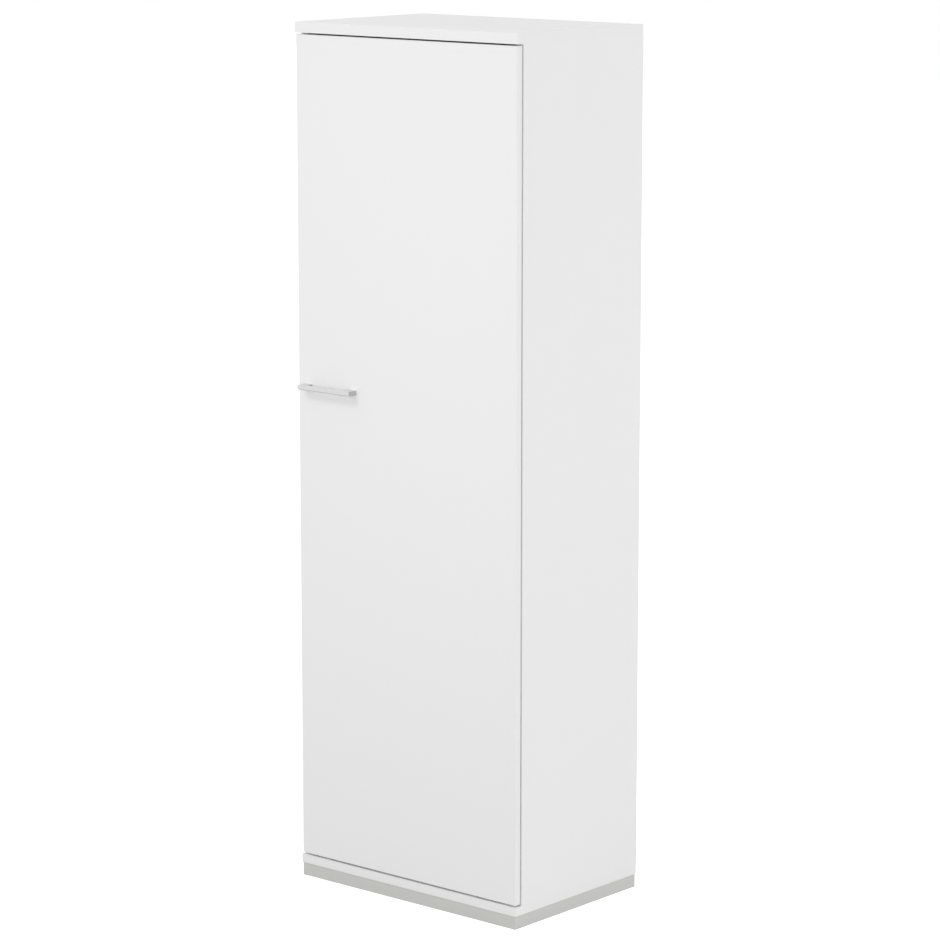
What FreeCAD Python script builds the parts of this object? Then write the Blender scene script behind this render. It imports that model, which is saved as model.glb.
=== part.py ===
import FreeCAD, Part
import os

# A tall single-door cabinet for coats. Sizes are in millimetres.
# The origin is on the floor, midway across the width and midway between the handle's front and the rear.
# +X is to the viewer's right, +Y to the rear and +Z up.

# Carcass boards
WIDTH = 600.0
DEPTH = 400.0
FILE_HEIGHT = 352.0
FILE_HEIGHTS = 5
TOP_THICK = 22.0
BOTTOM_THICK = 19.0
SIDE_THICK = 19.0
EDGE_RADIUS = 1.0

# Back panel, held in grooves
BACK_THICK = 8.0
BACK_INSET = 12.0
GROOVE_DEPTH = 8.0
GROOVE_PLAY = 0.2
BACK_EDGE_PLAY = 0.5

# Plinth frame and its levelling feet
PLINTH_HEIGHT = 28.0
PLINTH_INSET = 2.0
PLINTH_THICK = 16.0
BLOCK_SIDE = 45.0
BLOCK_HEIGHT = 18.0
BLOCK_CHAMFER = 12.0
GLIDE_RADIUS = 14.0
GLIDE_NECK_RADIUS = 7.0
GLIDE_RIM = 3.0
GLIDE_HEIGHT = 7.0
GLIDE_FLOOR = 2.0
GLIDE_ROUND = 1.5
GLIDE_LIFT = 0.8
LEVEL_SCREW_RADIUS = 4.0
LEVEL_SCREW_TOP_GAP = 1.0
LEVEL_KEY_RADIUS = 2.3
LEVEL_KEY_DEPTH = 5.0
ACCESS_RADIUS = 6.0
ACCESS_CAP_RADIUS = 8.5
ACCESS_CAP_THICK = 1.5
ACCESS_STEM = 8.0

# Door
DOOR_THICK = 16.0
DOOR_REVEAL = 2.0
DOOR_END_GAP = 3.5
DOOR_SETBACK = 1.5
DOOR_CLEAR = 2.0
BUMPER_RADIUS = 5.0
BUMPER_FROM_END = 40.0
BUMPER_PLAY = 0.3
BUMPER_ROUND = 0.8

# Bow handle
HANDLE_LENGTH = 145.0
HANDLE_TALL = 10.0
HANDLE_REACH = 25.0
HANDLE_BAR = 6.0
HANDLE_LEG = 20.0
HANDLE_FROM_EDGE = 18.0
HANDLE_HEIGHT = 1070.0
HANDLE_OUTER_RADIUS = 1.2
HANDLE_INNER_RADIUS = 4.0
HANDLE_SOFT_EDGE = 0.8
HANDLE_SCREW_SPACING = 128.0
HANDLE_SCREW_RADIUS = 2.0
HANDLE_SCREW_GRIP = 12.0
HANDLE_SCREW_HEAD_RADIUS = 4.0
HANDLE_SCREW_HEAD = 2.4

# Concealed hinge: cup and pin in the door, hooked arm and plate on the side
HINGE_COUNT = 4
HINGE_FROM_END = 100.0
CUP_RADIUS = 17.5
CUP_DEPTH = 13.0
CUP_FROM_EDGE = 3.0
CUP_WALL = 0.8
CUP_FLANGE_THICK = 1.0
CUP_FLANGE_TALL = 58.0
CUP_FLANGE_WIDE = 20.0
CUP_FLANGE_SHIFT = 3.5
CUP_FLANGE_ROUND = 6.0
CUP_SCREW_SPACING = 46.0
PIVOT_FROM_EDGE = 6.6
PIVOT_DEPTH = 10.0
PIN_RADIUS = 1.2
LUG_RADIUS = 2.6
LUG_THICK = 4.0
KNUCKLE_RADIUS = 2.0
KNUCKLE_TALL = 8.0
KNUCKLE_PLAY = 0.6
HOOK_THICK = 2.2
HOOK_REACH = 17.0
HOOK_LEG = 4.0
HOOK_OUTER_ROUND = 3.5
HOOK_INNER_ROUND = 1.5
ARM_TALL = 15.0
ARM_WIDE = 8.0
ARM_WALL = 1.5
ARM_FROM_FRONT = 6.0
ARM_LENGTH = 52.0
ARM_ROUND = 2.5
PLATE_THICK = 3.0
PLATE_FROM_FRONT = 8.0
PLATE_LENGTH = 52.0
PLATE_TALL = 15.0
PLATE_WING_TALL = 48.0
PLATE_WING_WIDE = 13.0
PLATE_ROUND = 5.0
PLATE_SCREW_FROM_FRONT = 37.0
PLATE_SCREW_SPACING = 32.0
ARM_ADJUSTER_FROM_FRONT = 16.0
ARM_LOCK_FROM_FRONT = 48.0
ARM_SCREW_RADIUS = 2.0
ARM_SCREW_HEAD_RADIUS = 3.4
ARM_SCREW_HEAD = 2.0

# Chipboard screws for hinges and rail brackets
SCREW_RADIUS = 1.75
SCREW_GRIP = 11.0
SCREW_HEAD_RADIUS = 3.4
SCREW_HEAD = 1.8

# Knock-down joints between the sides and the top and bottom
CAM_RADIUS = 7.5
CAM_DEPTH = 14.0
CAM_FROM_END = 34.0
CAM_FROM_EDGE = 48.0
CAM_SLOT_WIDE = 1.4
CAM_SLOT_LONG = 9.0
CAM_SLOT_DEEP = 2.0
BOLT_THREAD_RADIUS = 2.5
BOLT_THREAD = 11.0
BOLT_SHANK_RADIUS = 3.4
BOLT_SHANK = 25.0
BOLT_NECK_RADIUS = 2.0
BOLT_HEAD_RADIUS = 3.3
BOLT_HEAD = 4.5
DOWEL_RADIUS = 4.0
DOWEL_LENGTH = 30.0
DOWEL_IN_PANEL = 11.0
DOWEL_STEP = 32.0
DOWEL_END_PLAY = 0.5

# Hat shelf and its pegs
SHELF_FILES = 4
SHELF_THICK = 19.0
SHELF_SETBACK = 10.0
SHELF_PLAY = 0.5
PEG_RADIUS = 3.5
PEG_PIN_RADIUS = 2.5
PEG_PIN = 8.5
PEG_LENGTH = 10.0
PEG_FLAT = 2.0
PEG_FROM_EDGE = 40.0

# Oval clothes rail, front to back under the shelf
RAIL_TALL = 30.0
RAIL_WIDE = 15.0
RAIL_WALL = 1.2
RAIL_DROP = 52.0
RAIL_INSET = 28.0
RAIL_CAP_THICK = 2.5
RAIL_PLUG = 9.0
BRACKET_INSET = 24.0
BRACKET_WALL = 3.0
BRACKET_DEEP = 14.0
BRACKET_WEB = 12.0
BRACKET_FLANGE_LONG = 56.0
BRACKET_FLANGE_THICK = 4.0
BRACKET_FLANGE_ROUND = 6.0
BRACKET_FILLET = 3.0
BRACKET_SCREW_SPACING = 40.0

# Radial play of a pin, screw or plug in its hole
FIT_PLAY = 0.05
HOLE_END_PLAY = 0.5
TOUCH = 1e-6

# Planes and places that follow from the sizes
FLOOR_Z = PLINTH_HEIGHT + BOTTOM_THICK
CEILING_Z = FLOOR_Z + FILE_HEIGHT * FILE_HEIGHTS
TOP_Z = CEILING_Z + TOP_THICK
HALF_WIDTH = WIDTH / 2
INNER_X = HALF_WIDTH - SIDE_THICK
FRONT = (HANDLE_REACH - DOOR_SETBACK - DEPTH) / 2
REAR = FRONT + DEPTH
DOOR_FRONT = FRONT + DOOR_SETBACK
DOOR_BACK = DOOR_FRONT + DOOR_THICK
SIDE_FRONT = DOOR_BACK + DOOR_CLEAR
BACK_REAR = REAR - BACK_INSET
BACK_FRONT = BACK_REAR - BACK_THICK
DOOR_HALF = HALF_WIDTH - DOOR_REVEAL
DOOR_BOTTOM = FLOOR_Z + DOOR_END_GAP
DOOR_TOP = CEILING_Z - DOOR_END_GAP
SHELF_TOP = FLOOR_Z + FILE_HEIGHT * SHELF_FILES
SHELF_UNDER = SHELF_TOP - SHELF_THICK
SHELF_FRONT = SIDE_FRONT + SHELF_SETBACK
SHELF_REAR = BACK_FRONT - SHELF_PLAY
SIDE_MID = INNER_X + SIDE_THICK / 2
PLINTH_X = HALF_WIDTH - PLINTH_INSET
PLINTH_FRONT = FRONT + PLINTH_INSET
PLINTH_REAR = REAR - PLINTH_INSET
LEVELLER_INSET = PLINTH_THICK + BLOCK_SIDE / 2
HANDLE_LEFT = HANDLE_FROM_EDGE - DOOR_HALF
HANDLE_MID = HANDLE_LEFT + HANDLE_LENGTH / 2
HANDLE_FRONT = DOOR_FRONT - HANDLE_REACH
PIVOT_X = DOOR_HALF - PIVOT_FROM_EDGE
PIVOT_Y = DOOR_BACK - PIVOT_DEPTH
CUP_X = DOOR_HALF - CUP_FROM_EDGE - CUP_RADIUS
CUP_FLANGE_X = CUP_X - CUP_FLANGE_SHIFT
PIN_LENGTH = KNUCKLE_TALL + 2 * (KNUCKLE_PLAY + LUG_THICK)
PLATE_X = INNER_X - PLATE_THICK
ARM_X = PLATE_X - ARM_WIDE
ARM_SCREW_PLACES = (SIDE_FRONT + ARM_ADJUSTER_FROM_FRONT, SIDE_FRONT + ARM_LOCK_FROM_FRONT)
HINGE_STEP = (DOOR_TOP - DOOR_BOTTOM - 2 * HINGE_FROM_END) / (HINGE_COUNT - 1)
HINGE_HEIGHTS = [DOOR_BOTTOM + HINGE_FROM_END + HINGE_STEP * i for i in range(HINGE_COUNT)]
RAIL_Z = SHELF_UNDER - RAIL_DROP
RAIL_FRONT = SHELF_FRONT + RAIL_INSET
RAIL_REAR = SHELF_REAR - RAIL_INSET
CAM_PLACES = (SIDE_FRONT + CAM_FROM_EDGE, BACK_FRONT - CAM_FROM_EDGE)
DOWEL_PLACES = (CAM_PLACES[0] + DOWEL_STEP, CAM_PLACES[1] - DOWEL_STEP)
HANDLE_SCREW_PLACES = [HANDLE_MID + sign * HANDLE_SCREW_SPACING / 2 for sign in (-1, 1)]
PEG_PLACES = (SHELF_FRONT + PEG_FROM_EDGE, SHELF_REAR - PEG_FROM_EDGE)
BRACKET_PLACES = (RAIL_FRONT + BRACKET_INSET, RAIL_REAR - BRACKET_INSET)
LEVELLER_PLACES = {
    "front_left": (LEVELLER_INSET - PLINTH_X, PLINTH_FRONT + LEVELLER_INSET),
    "front_right": (PLINTH_X - LEVELLER_INSET, PLINTH_FRONT + LEVELLER_INSET),
    "back_left": (LEVELLER_INSET - PLINTH_X, PLINTH_REAR - LEVELLER_INSET),
    "back_right": (PLINTH_X - LEVELLER_INSET, PLINTH_REAR - LEVELLER_INSET),
}


def box(x, y, z):
    """Box between the two values given for each axis, in either order."""
    low = [min(pair) for pair in (x, y, z)]
    size = [abs(pair[1] - pair[0]) for pair in (x, y, z)]
    return Part.makeBox(*size, FreeCAD.Vector(*low))


def rod(radius, start, end):
    """Round bar from one point to another."""
    foot = FreeCAD.Vector(*start)
    line = FreeCAD.Vector(*end) - foot
    return Part.makeCylinder(radius, line.Length, foot, line)


def edges_where(solid, **planes):
    """Edges that lie in each of the planes given, such as z=0."""
    def lies_there(edge):
        return all(abs(getattr(corner.Point, axis) - value) < TOUCH
                   for corner in edge.Vertexes for axis, value in planes.items())
    return [edge for edge in solid.Edges if lies_there(edge)]


def edges_along(solid, axis):
    """Straight edges that run along one axis, such as z."""
    def spread(edge, name):
        values = [getattr(corner.Point, name) for corner in edge.Vertexes]
        return max(values) - min(values)
    others = [name for name in "xyz" if name != axis]
    return [edge for edge in solid.Edges
            if len(edge.Vertexes) == 2 and all(spread(edge, name) < TOUCH for name in others)]


def united(solids):
    """One solid out of pieces that touch or overlap."""
    return solids[0].multiFuse(solids[1:]).removeSplitter().Solids[0]


def drilled(solid, holes):
    """A solid with holes, grooves or pockets cut out of it."""
    return solid.cut(Part.makeCompound(holes)).Solids[0]


def round_plate(x, y, z, radius, axis):
    """Flat plate whose corners are rounded about the axis it is thin along."""
    plate = box(x, y, z)
    return plate.makeFillet(radius, edges_along(plate, axis))


def carcass_corners():
    """Each corner joint: the side's sign, the height of the side's end, and the way into the side."""
    for side in (-1, 1):
        yield side, FLOOR_Z, 1
        yield side, CEILING_Z, -1


def cam_joints():
    """Each cam joint: the corner's values and the place along the depth."""
    for side, end, inward in carcass_corners():
        for place in CAM_PLACES:
            yield side, end, inward, place


def dowel_joints():
    """Each dowel joint: the corner's values and the place along the depth."""
    for side, end, inward in carcass_corners():
        for place in DOWEL_PLACES:
            yield side, end, inward, place


def dowel(side, end, inward, place, play=0.0, end_play=0.0):
    """Wooden dowel across a corner joint, or with play, its hole."""
    low = end - inward * (DOWEL_IN_PANEL + end_play)
    high = end + inward * (DOWEL_LENGTH - DOWEL_IN_PANEL + end_play)
    return rod(DOWEL_RADIUS + play, (side * SIDE_MID, place, low), (side * SIDE_MID, place, high))


def bolt_length(end, inward, start, stop):
    """The two heights of a stretch of a cam bolt, measured from the joint into the side."""
    return end + inward * start, end + inward * stop


def bolt_piece(side, place, radius, heights):
    """One round stretch of a cam bolt."""
    return rod(radius, (side * SIDE_MID, place, heights[0]), (side * SIDE_MID, place, heights[1]))


def cam_bolt(side, end, inward, place):
    """Bolt that is screwed into the top or bottom and hooked by a cam in the side."""
    head_end = CAM_FROM_END + BOLT_HEAD / 2
    head_start = CAM_FROM_END - BOLT_HEAD / 2
    stretches = (
        (BOLT_THREAD_RADIUS, -BOLT_THREAD, 0.0),
        (BOLT_SHANK_RADIUS, 0.0, BOLT_SHANK),
        (BOLT_NECK_RADIUS, BOLT_SHANK, head_start),
        (BOLT_HEAD_RADIUS, head_start, head_end),
    )
    return united([bolt_piece(side, place, radius, bolt_length(end, inward, start, stop))
                   for radius, start, stop in stretches])


def bolt_bore(side, end, inward, place):
    """Bore in the side's end that takes a cam bolt's shank and head."""
    return bolt_piece(side, place, BOLT_SHANK_RADIUS + FIT_PLAY, bolt_length(end, inward, 0.0, CAM_FROM_END))


def bolt_thread_hole(side, end, inward, place):
    """Hole in the top or bottom that takes a cam bolt's thread."""
    return bolt_piece(side, place, BOLT_THREAD_RADIUS + FIT_PLAY,
                      bolt_length(end, inward, -BOLT_THREAD - HOLE_END_PLAY, 0.0))


def cam_disc(side, end, inward, place, play=0.0):
    """Round cam housing in a side's inner face, or with play, its pocket."""
    height = end + inward * CAM_FROM_END
    bottom = INNER_X + CAM_DEPTH
    return rod(CAM_RADIUS + play, (side * INNER_X, place, height), (side * bottom, place, height))


def cam_lock(side, end, inward, place):
    """Cam with a passage for the bolt's head and a screwdriver slot in its face."""
    height = end + inward * CAM_FROM_END
    reach = BOLT_HEAD / 2 + HOLE_END_PLAY
    passage = bolt_piece(side, place, BOLT_SHANK_RADIUS + FIT_PLAY,
                         (height - inward * 2 * CAM_RADIUS, height + inward * reach))
    slot = box((side * INNER_X, side * (INNER_X + CAM_SLOT_DEEP)),
               (place - CAM_SLOT_LONG / 2, place + CAM_SLOT_LONG / 2),
               (height - CAM_SLOT_WIDE / 2, height + CAM_SLOT_WIDE / 2))
    return drilled(cam_disc(side, end, inward, place), [passage, slot])


def back_groove():
    """Space that the grooves leave for the back panel."""
    reach = INNER_X + GROOVE_DEPTH
    return box((-reach, reach), (BACK_FRONT - GROOVE_PLAY, BACK_REAR + GROOVE_PLAY),
               (FLOOR_Z - GROOVE_DEPTH, CEILING_Z + GROOVE_DEPTH))


def end_panel_holes(end):
    """Groove and joint holes in the top or the bottom panel."""
    holes = [bolt_thread_hole(*joint) for joint in cam_joints() if joint[1] == end]
    holes += [dowel(*joint, FIT_PLAY, DOWEL_END_PLAY) for joint in dowel_joints() if joint[1] == end]
    return holes + [back_groove()]


def top_panel():
    """Top board that covers the sides and the door's upper end."""
    board = box((-HALF_WIDTH, HALF_WIDTH), (FRONT, REAR), (CEILING_Z, TOP_Z))
    board = board.makeFillet(EDGE_RADIUS, edges_where(board, z=TOP_Z) + edges_along(board, "z"))
    return drilled(board, end_panel_holes(CEILING_Z))


def bottom_panel():
    """Bottom board that carries the sides, with a hole over each levelling screw."""
    board = box((-HALF_WIDTH, HALF_WIDTH), (FRONT, REAR), (PLINTH_HEIGHT, FLOOR_Z))
    board = board.makeFillet(EDGE_RADIUS, edges_where(board, z=PLINTH_HEIGHT) + edges_along(board, "z"))
    access = [rod(ACCESS_RADIUS, (x, y, PLINTH_HEIGHT), (x, y, FLOOR_Z)) for x, y in LEVELLER_PLACES.values()]
    return drilled(board, end_panel_holes(FLOOR_Z) + access)


def peg_holes(side):
    """Holes in one side for the shelf's pegs."""
    height = SHELF_UNDER - PEG_FLAT
    depth = INNER_X + PEG_PIN + HOLE_END_PLAY
    return [rod(PEG_PIN_RADIUS + FIT_PLAY, (side * INNER_X, place, height), (side * depth, place, height))
            for place in PEG_PLACES]


def plate_screw_places():
    """Place along the depth and height of each hinge plate screw."""
    place = SIDE_FRONT + PLATE_SCREW_FROM_FRONT
    return [(place, height + sign * PLATE_SCREW_SPACING / 2) for height in HINGE_HEIGHTS for sign in (-1, 1)]


def side_panel(side):
    """Side board with its joint holes, groove and peg holes."""
    board = box((side * INNER_X, side * HALF_WIDTH), (SIDE_FRONT, REAR), (FLOOR_Z, CEILING_Z))
    front_edges = [edge for edge in edges_along(board, "z") if abs(edge.CenterOfMass.y - SIDE_FRONT) < TOUCH]
    board = board.makeFillet(EDGE_RADIUS, front_edges)
    cams = [joint for joint in cam_joints() if joint[0] == side]
    holes = [cam_disc(*joint, FIT_PLAY) for joint in cams] + [bolt_bore(*joint) for joint in cams]
    holes += [dowel(*joint, FIT_PLAY, DOWEL_END_PLAY) for joint in dowel_joints() if joint[0] == side]
    return drilled(board, holes + peg_holes(side) + [back_groove()])


def right_side_panel():
    """Side board that also takes the hinge plates' screws."""
    reach = INNER_X + SCREW_GRIP - PLATE_THICK + HOLE_END_PLAY
    holes = [rod(SCREW_RADIUS + FIT_PLAY, (INNER_X, place, height), (reach, place, height))
             for place, height in plate_screw_places()]
    return drilled(side_panel(1), holes)


def back_panel():
    """Thin board that stands on the bottom groove's floor."""
    reach = INNER_X + GROOVE_DEPTH - BACK_EDGE_PLAY
    return box((-reach, reach), (BACK_FRONT, BACK_REAR),
               (FLOOR_Z - GROOVE_DEPTH, CEILING_Z + GROOVE_DEPTH - BACK_EDGE_PLAY))


def plinth_boards():
    """Four boards, mitred at the corners, by name."""
    def corners(inset):
        x = PLINTH_X - inset
        front = PLINTH_FRONT + inset
        rear = PLINTH_REAR - inset
        return [FreeCAD.Vector(*point, 0) for point in ((-x, front), (x, front), (x, rear), (-x, rear))]
    outer = corners(0.0)
    inner = corners(PLINTH_THICK)
    boards = {}
    for i, name in enumerate(("front", "right", "back", "left")):
        j = (i + 1) % len(outer)
        outline = Part.makePolygon([outer[i], outer[j], inner[j], inner[i], outer[i]])
        boards["plinth_" + name] = Part.Face(outline).extrude(FreeCAD.Vector(0, 0, PLINTH_HEIGHT))
    return boards


def corner_block(x, y):
    """Block in a plinth corner, threaded for a levelling screw."""
    half = BLOCK_SIDE / 2
    low = PLINTH_HEIGHT - BLOCK_HEIGHT
    block = box((x - half, x + half), (y - half, y + half), (low, PLINTH_HEIGHT))
    middle = (PLINTH_FRONT + PLINTH_REAR) / 2
    inner_x = x - half if x > 0 else x + half
    inner_y = y - half if y > middle else y + half
    block = block.makeChamfer(BLOCK_CHAMFER, edges_where(block, x=inner_x, y=inner_y))
    return drilled(block, [rod(LEVEL_SCREW_RADIUS + FIT_PLAY, (x, y, low), (x, y, PLINTH_HEIGHT))])


def leveller_screw(x, y):
    """Levelling screw with a key socket in its top, screwed fully in."""
    top = PLINTH_HEIGHT - LEVEL_SCREW_TOP_GAP
    screw = rod(LEVEL_SCREW_RADIUS, (x, y, GLIDE_LIFT + GLIDE_FLOOR), (x, y, top))
    return drilled(screw, [rod(LEVEL_KEY_RADIUS, (x, y, top - LEVEL_KEY_DEPTH), (x, y, top))])


def leveller_glide(x, y):
    """Moulded foot under a levelling screw: a round rim, a cone above it and a socket for the screw."""
    shoulder = GLIDE_LIFT + GLIDE_RIM
    top = GLIDE_LIFT + GLIDE_HEIGHT
    rim = rod(GLIDE_RADIUS, (x, y, GLIDE_LIFT), (x, y, shoulder))
    rim = rim.makeFillet(GLIDE_ROUND, edges_where(rim, z=GLIDE_LIFT))
    cone = Part.makeCone(GLIDE_RADIUS, GLIDE_NECK_RADIUS, top - shoulder, FreeCAD.Vector(x, y, shoulder))
    socket = rod(LEVEL_SCREW_RADIUS + FIT_PLAY, (x, y, GLIDE_LIFT + GLIDE_FLOOR), (x, y, top))
    return drilled(united([rim, cone]), [socket])


def access_cap(x, y):
    """Cap that closes the hole over a levelling screw."""
    cap = rod(ACCESS_CAP_RADIUS, (x, y, FLOOR_Z), (x, y, FLOOR_Z + ACCESS_CAP_THICK))
    stem = rod(ACCESS_RADIUS - FIT_PLAY, (x, y, FLOOR_Z - ACCESS_STEM), (x, y, FLOOR_Z))
    return united([cap, stem])


def hat_shelf():
    """Shelf that lies on four pegs, with screw holes for the rail's brackets."""
    reach = INNER_X - SHELF_PLAY
    board = box((-reach, reach), (SHELF_FRONT, SHELF_REAR), (SHELF_UNDER, SHELF_TOP))
    board = board.makeFillet(EDGE_RADIUS, edges_where(board, y=SHELF_FRONT, z=SHELF_TOP)
                             + edges_where(board, y=SHELF_FRONT, z=SHELF_UNDER))
    top = SHELF_UNDER + SCREW_GRIP - BRACKET_FLANGE_THICK + HOLE_END_PLAY
    holes = [rod(SCREW_RADIUS + FIT_PLAY, (x, place, SHELF_UNDER), (x, place, top))
             for x, place in bracket_screw_places()]
    return drilled(board, holes)


def shelf_peg(side, place):
    """Peg in a side, flat on top where the shelf lies."""
    height = SHELF_UNDER - PEG_FLAT
    pin = rod(PEG_PIN_RADIUS, (side * (INNER_X + PEG_PIN), place, height), (side * INNER_X, place, height))
    seat = rod(PEG_RADIUS, (side * INNER_X, place, height), (side * (INNER_X - PEG_LENGTH), place, height))
    above = box((side * INNER_X, side * (INNER_X - PEG_LENGTH)), (place - PEG_RADIUS, place + PEG_RADIUS),
                (SHELF_UNDER, height + PEG_RADIUS))
    return united([pin, seat.cut(above)])


def oval(wide, tall, start, end):
    """Upright oval bar with round ends, along the depth at the rail's height."""
    radius = wide / 2
    middle = box((-radius, radius), (start, end), (RAIL_Z - tall / 2 + radius, RAIL_Z + tall / 2 - radius))
    ends = [rod(radius, (0, start, height), (0, end, height))
            for height in (RAIL_Z - tall / 2 + radius, RAIL_Z + tall / 2 - radius)]
    return united([middle] + ends)


def clothes_rail():
    """Thin oval tube."""
    bore = oval(RAIL_WIDE - 2 * RAIL_WALL, RAIL_TALL - 2 * RAIL_WALL, RAIL_FRONT, RAIL_REAR)
    return drilled(oval(RAIL_WIDE, RAIL_TALL, RAIL_FRONT, RAIL_REAR), [bore])


def rail_end_cap(end, inward):
    """Plug with a lid, in one end of the rail."""
    lid = oval(RAIL_WIDE, RAIL_TALL, *sorted((end - inward * RAIL_CAP_THICK, end)))
    slim = 2 * (RAIL_WALL + FIT_PLAY)
    plug = oval(RAIL_WIDE - slim, RAIL_TALL - slim, *sorted((end, end + inward * RAIL_PLUG)))
    return united([lid, plug])


def bracket_screw_places():
    """Place across and along the depth of each bracket screw."""
    return [(sign * BRACKET_SCREW_SPACING / 2, place) for place in BRACKET_PLACES for sign in (-1, 1)]


def rail_bracket(place):
    """Hanger with a flange under the shelf and a loop round the rail."""
    front = place - BRACKET_DEEP / 2
    rear = place + BRACKET_DEEP / 2
    flange_low = SHELF_UNDER - BRACKET_FLANGE_THICK
    flange = round_plate((-BRACKET_FLANGE_LONG / 2, BRACKET_FLANGE_LONG / 2), (front, rear),
                         (flange_low, SHELF_UNDER), BRACKET_FLANGE_ROUND, "z")
    loop = oval(RAIL_WIDE + 2 * BRACKET_WALL, RAIL_TALL + 2 * BRACKET_WALL, front, rear)
    web = box((-BRACKET_WEB / 2, BRACKET_WEB / 2), (front, rear), (RAIL_Z + RAIL_TALL / 2, flange_low))
    hanger = united([flange, web, loop])
    corners = [edge for sign in (-1, 1)
               for edge in edges_where(hanger, x=sign * BRACKET_WEB / 2, z=flange_low)]
    hanger = hanger.makeFillet(BRACKET_FILLET, corners)
    passage = oval(RAIL_WIDE + 2 * FIT_PLAY, RAIL_TALL + 2 * FIT_PLAY, front, rear)
    holes = [rod(SCREW_RADIUS + FIT_PLAY, (x, y, flange_low), (x, y, SHELF_UNDER))
             for x, y in bracket_screw_places() if y == place]
    return drilled(hanger, [passage] + holes)


def headed_screw(foot, way, radius, grip, head_radius, head):
    """Screw whose head lies on the foot point; the shank goes the way given."""
    start = FreeCAD.Vector(*foot)
    along = FreeCAD.Vector(*way)
    shank = Part.makeCylinder(radius, grip, start, along)
    cap = Part.makeCylinder(head_radius, head, start - along * head, along)
    return united([shank, cap])


def board_screw(foot, way):
    """Chipboard screw for hinges and brackets."""
    return headed_screw(foot, way, SCREW_RADIUS, SCREW_GRIP, SCREW_HEAD_RADIUS, SCREW_HEAD)


def rail_screw(x, y):
    """Screw up through a bracket's flange into the shelf."""
    return board_screw((x, y, SHELF_UNDER - BRACKET_FLANGE_THICK), (0, 0, 1))


def cup_screw_places():
    """Place across and height of each hinge cup screw."""
    return [(CUP_FLANGE_X, height + sign * CUP_SCREW_SPACING / 2)
            for height in HINGE_HEIGHTS for sign in (-1, 1)]


def door_panel():
    """Door board with pockets for the hinge cups and holes for the screws."""
    board = box((-DOOR_HALF, DOOR_HALF), (DOOR_FRONT, DOOR_BACK), (DOOR_BOTTOM, DOOR_TOP))
    board = board.makeFillet(EDGE_RADIUS, board.Edges)
    holes = [rod(CUP_RADIUS + FIT_PLAY, (CUP_X, DOOR_BACK - CUP_DEPTH, height), (CUP_X, DOOR_BACK, height))
             for height in HINGE_HEIGHTS]
    screw_end = DOOR_BACK - SCREW_GRIP + CUP_FLANGE_THICK - HOLE_END_PLAY
    holes += [rod(SCREW_RADIUS + FIT_PLAY, (x, screw_end, height), (x, DOOR_BACK, height))
              for x, height in cup_screw_places()]
    handle_hole = HANDLE_SCREW_RADIUS + FIT_PLAY
    holes += [rod(handle_hole, (x, DOOR_FRONT, HANDLE_HEIGHT), (x, DOOR_BACK, HANDLE_HEIGHT))
              for x in HANDLE_SCREW_PLACES]
    return drilled(board, holes)


def handle():
    """Bow handle: a flat bar on two legs, with rounded corners and softened edges."""
    right = HANDLE_LEFT + HANDLE_LENGTH
    heights = (HANDLE_HEIGHT - HANDLE_TALL / 2, HANDLE_HEIGHT + HANDLE_TALL / 2)
    gap_front = HANDLE_FRONT + HANDLE_BAR
    gap_left = HANDLE_LEFT + HANDLE_LEG
    gap_right = right - HANDLE_LEG
    bow = box((HANDLE_LEFT, right), (HANDLE_FRONT, DOOR_FRONT), heights)
    bow = bow.cut(box((gap_left, gap_right), (gap_front, DOOR_FRONT), heights)).Solids[0]
    outer = [edge for x in (HANDLE_LEFT, right) for edge in edges_where(bow, x=x, y=HANDLE_FRONT)]
    bow = bow.makeFillet(HANDLE_OUTER_RADIUS, outer)
    inner = [edge for x in (gap_left, gap_right) for edge in edges_where(bow, x=x, y=gap_front)]
    bow = bow.makeFillet(HANDLE_INNER_RADIUS, inner)
    rims = [edge for z in heights for edge in edges_where(bow, z=z)]
    seat = edges_where(bow, y=DOOR_FRONT)
    bow = bow.makeFillet(HANDLE_SOFT_EDGE, [edge for edge in rims if not any(edge.isSame(e) for e in seat)])
    depth = DOOR_FRONT - HANDLE_SCREW_GRIP - HOLE_END_PLAY
    holes = [rod(HANDLE_SCREW_RADIUS + FIT_PLAY, (x, depth, HANDLE_HEIGHT), (x, DOOR_FRONT, HANDLE_HEIGHT))
             for x in HANDLE_SCREW_PLACES]
    return drilled(bow, holes)


def handle_screw(x):
    """Machine screw from inside the door into a handle leg."""
    return headed_screw((x, DOOR_BACK, HANDLE_HEIGHT), (0, -1, 0), HANDLE_SCREW_RADIUS,
                        DOOR_THICK + HANDLE_SCREW_GRIP, HANDLE_SCREW_HEAD_RADIUS, HANDLE_SCREW_HEAD)


def door_bumper(height):
    """Soft pad on the door's inner face, opposite the left side's front edge."""
    face = DOOR_BACK + DOOR_CLEAR - BUMPER_PLAY
    pad = rod(BUMPER_RADIUS, (-SIDE_MID, DOOR_BACK, height), (-SIDE_MID, face, height))
    return pad.makeFillet(BUMPER_ROUND, edges_where(pad, y=face))


def pivot_rod(height, radius, length):
    """Upright round bar on a hinge's pivot, centred on the hinge's height."""
    return rod(radius, (PIVOT_X, PIVOT_Y, height - length / 2), (PIVOT_X, PIVOT_Y, height + length / 2))


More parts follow.
